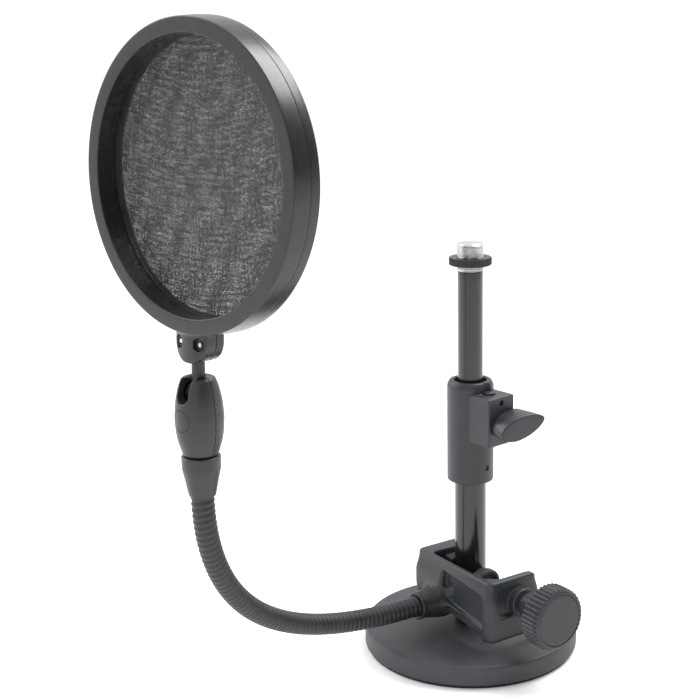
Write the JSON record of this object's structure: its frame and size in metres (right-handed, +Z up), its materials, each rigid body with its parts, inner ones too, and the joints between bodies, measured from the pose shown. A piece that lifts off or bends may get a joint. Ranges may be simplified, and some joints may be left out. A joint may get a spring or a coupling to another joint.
{
  "type": "pop filter",
  "caption": "Round two-layer mesh pop filter on a ball swivel and gooseneck, clamped to the telescoping post of a weighted desk stand.",
  "frame": {"origin": "centre of the base's underside, on the post's axis", "axes": "+Z up along the post; -Y towards the hoop, whose front faces -Y; +X towards the clamp's and the clutch's knobs"},
  "size_m": [0.1751, 0.2744, 0.3861],
  "materials": {
    "base_cast": "fine-textured matte black paint",
    "base_rubber": "matte",
    "zinc_steel": "satin",
    "dark_steel": "black, half gloss",
    "tube_black": "glossy black",
    "clutch_plastic": "satin",
    "bush_rubber": "matte",
    "clamp_plastic": "satin, fine texture",
    "clamp_rubber": "matte",
    "neck_steel": "matte black sleeve",
    "swivel_plastic": "satin",
    "rod_plastic": "satin",
    "hoop_plastic": "satin",
    "mesh_front_cloth": "fine nylon mesh",
    "mesh_rear_cloth": "fine nylon mesh"
  },
  "bodies": {
    "stand": {"base_weight": "base_cast", "base_pad": "base_rubber", "base_bolt": "zinc_steel", "base_washer": "zinc_steel", "lower_tube": "tube_black", "tube_foot_insert": "zinc_steel", "clutch_body": "clutch_plastic", "clutch_bush": "bush_rubber", "clutch_pin_cap": "clutch_plastic", "clutch_retaining_screw": "dark_steel", "clutch_grub_screw": "dark_steel"},
    "post_slider": {"tube_guide_plug": "bush_rubber"},
    "upper_post": {"upper_tube": "tube_black", "top_stud": "zinc_steel"},
    "lock_ring": {"top_lock_ring": "dark_steel"},
    "clutch_pad": {"clutch_brake_pad": "bush_rubber"},
    "clutch_handle": {"clutch_screw": "zinc_steel", "clutch_knob": "clutch_plastic"},
    "clamp": {"clamp_body": "clamp_plastic", "clamp_jaw_pad": "clamp_rubber", "clamp_nut": "zinc_steel", "gooseneck_ferrule": "dark_steel"},
    "clamp_pad": {"clamp_pressure_pad": "clamp_rubber"},
    "clamp_handle": {"clamp_screw": "zinc_steel", "clamp_knob": "clamp_plastic", "clamp_knob_cap": "clamp_plastic"},
    "neck_1": {"gooseneck_link_1": "neck_steel"},
    "neck_2": {"gooseneck_link_2": "neck_steel"},
    "neck_3": {"gooseneck_link_3": "neck_steel"},
    "neck_4": {"gooseneck_link_4": "neck_steel"},
    "neck_5": {"gooseneck_link_5": "neck_steel"},
    "neck_6": {"gooseneck_link_6": "neck_steel"},
    "neck_7": {"gooseneck_link_7": "neck_steel"},
    "neck_8": {"gooseneck_link_8": "neck_steel"},
    "collar": {"swivel_collar": "swivel_plastic", "swivel_pin": "zinc_steel", "gooseneck_top_ferrule": "dark_steel"},
    "swivel": {"swivel_shell_front": "swivel_plastic", "swivel_shell_rear": "swivel_plastic", "swivel_screw": "dark_steel", "swivel_nut": "dark_steel", "swivel_cap": "swivel_plastic"},
    "ball": {"swivel_ball": "dark_steel"},
    "hoop": {"hoop_rod": "rod_plastic", "hoop_front": "hoop_plastic", "hoop_rear": "hoop_plastic", "mesh_front": "mesh_front_cloth", "mesh_spacer_ring": "hoop_plastic", "mesh_rear": "mesh_rear_cloth", "lug_screw_1": "dark_steel", "lug_screw_2": "dark_steel", "lug_nut_1": "dark_steel", "lug_nut_2": "dark_steel"}
  },
  "joints": [
    {"name": "post_slide", "type": "slide", "parent": "stand", "child": "post_slider", "axis": [0, 0, 1], "range_m": [-0.034, 0.048]},
    {"name": "post_turn", "type": "hinge", "parent": "post_slider", "child": "upper_post", "pos_m": [0, 0, 0.16], "axis": [0, 0, 1], "continuous": true},
    {"name": "lock_ring_turn", "type": "hinge", "parent": "upper_post", "child": "lock_ring", "pos_m": [0, 0, 0.24], "axis": [0, 0, 1], "continuous": true},
    {"name": "clutch_pad_slide", "type": "slide", "parent": "stand", "child": "clutch_pad", "axis": [0.9962, -0.0872, 0], "range_m": [0, 0.0038]},
    {"name": "clutch_knob_turn", "type": "hinge", "parent": "clutch_pad", "child": "clutch_handle", "pos_m": [0, 0, 0.1457], "axis": [0.9962, -0.0872, 0], "range_deg": [0, 1080]},
    {"name": "clamp_swing", "type": "hinge", "parent": "stand", "child": "clamp", "pos_m": [0, 0, 0.0435], "axis": [0, 0, 1], "continuous": true},
    {"name": "clamp_pad_slide", "type": "slide", "parent": "clamp", "child": "clamp_pad", "axis": [0.9763, -0.2164, 0], "range_m": [0, 0.0226]},
    {"name": "clamp_knob_turn", "type": "hinge", "parent": "clamp_pad", "child": "clamp_handle", "pos_m": [0, 0, 0.0435], "axis": [0.9763, -0.2164, 0], "range_deg": [0, 6480]},
    {"name": "gooseneck_bend", "type": "hinge", "parent": "clamp", "child": "neck_1", "pos_m": [-0.01262, -0.03613, 0.0315], "axis": [0.9764, -0.2161, 0.0001], "range_deg": [-5, 6]},
    {"name": "gooseneck_sway", "type": "hinge", "parent": "neck_1", "child": "neck_2", "pos_m": [-0.01771, -0.06265, 0.03274], "axis": [0, 0.0957, 0.9954], "range_deg": [-7, 7]},
    {"name": "gooseneck_bend_2", "type": "hinge", "parent": "neck_2", "child": "neck_3", "pos_m": [-0.02122, -0.08992, 0.03695], "axis": [0.9957, -0.0904, 0.0197], "range_deg": [-5, 6]},
    {"name": "gooseneck_sway_2", "type": "hinge", "parent": "neck_3", "child": "neck_4", "pos_m": [-0.02282, -0.11658, 0.04473], "axis": [0, 0.3505, 0.9366], "range_deg": [-7, 7]},
    {"name": "gooseneck_bend_3", "type": "hinge", "parent": "neck_4", "child": "neck_5", "pos_m": [-0.02247, -0.1417, 0.05665], "axis": [0.9989, 0.0396, -0.0234], "range_deg": [-5, 6]},
    {"name": "gooseneck_sway_3", "type": "hinge", "parent": "neck_5", "child": "neck_6", "pos_m": [-0.0204, -0.16397, 0.07314], "axis": [0, 0.68, 0.7332], "range_deg": [-7, 7]},
    {"name": "gooseneck_bend_4", "type": "hinge", "parent": "neck_6", "child": "neck_7", "pos_m": [-0.01727, -0.18174, 0.09426], "axis": [0.993, 0.0639, -0.0998], "range_deg": [-5, 6]},
    {"name": "gooseneck_sway_4", "type": "hinge", "parent": "neck_7", "child": "neck_8", "pos_m": [-0.01428, -0.19321, 0.11935], "axis": [0, 0.9599, 0.2805], "range_deg": [-7, 7]},
    {"name": "gooseneck_bend_5", "type": "hinge", "parent": "neck_8", "child": "collar", "pos_m": [-0.013, -0.197, 0.146], "axis": [1, 0, 0], "range_deg": [-5, 6]},
    {"name": "swivel_turn", "type": "hinge", "parent": "collar", "child": "swivel", "pos_m": [-0.013, -0.197, 0.18], "axis": [0, 0, 1], "continuous": true},
    {"name": "swivel_tilt", "type": "hinge", "parent": "swivel", "child": "ball", "pos_m": [-0.013, -0.197, 0.2], "axis": [1, 0, 0], "range_deg": [-3, 90]},
    {"name": "hoop_turn", "type": "hinge", "parent": "ball", "child": "hoop", "pos_m": [-0.013, -0.197, 0.2], "axis": [0, 0.0384, 0.9993], "continuous": true}
  ],
  "couplings": [
    {"joint": "gooseneck_bend_2", "follows": "gooseneck_bend", "ratio": 1},
    {"joint": "gooseneck_sway_2", "follows": "gooseneck_sway", "ratio": 1},
    {"joint": "gooseneck_bend_3", "follows": "gooseneck_bend", "ratio": 1},
    {"joint": "gooseneck_sway_3", "follows": "gooseneck_sway", "ratio": 1},
    {"joint": "gooseneck_bend_4", "follows": "gooseneck_bend", "ratio": 1},
    {"joint": "gooseneck_sway_4", "follows": "gooseneck_sway", "ratio": 1},
    {"joint": "gooseneck_bend_5", "follows": "gooseneck_bend", "ratio": 1},
    {"joint": "clutch_pad_slide", "follows": "clutch_knob_turn", "m_per_rad": 0.00019894},
    {"joint": "clamp_pad_slide", "follows": "clamp_knob_turn", "m_per_rad": 0.00019894}
  ]
}
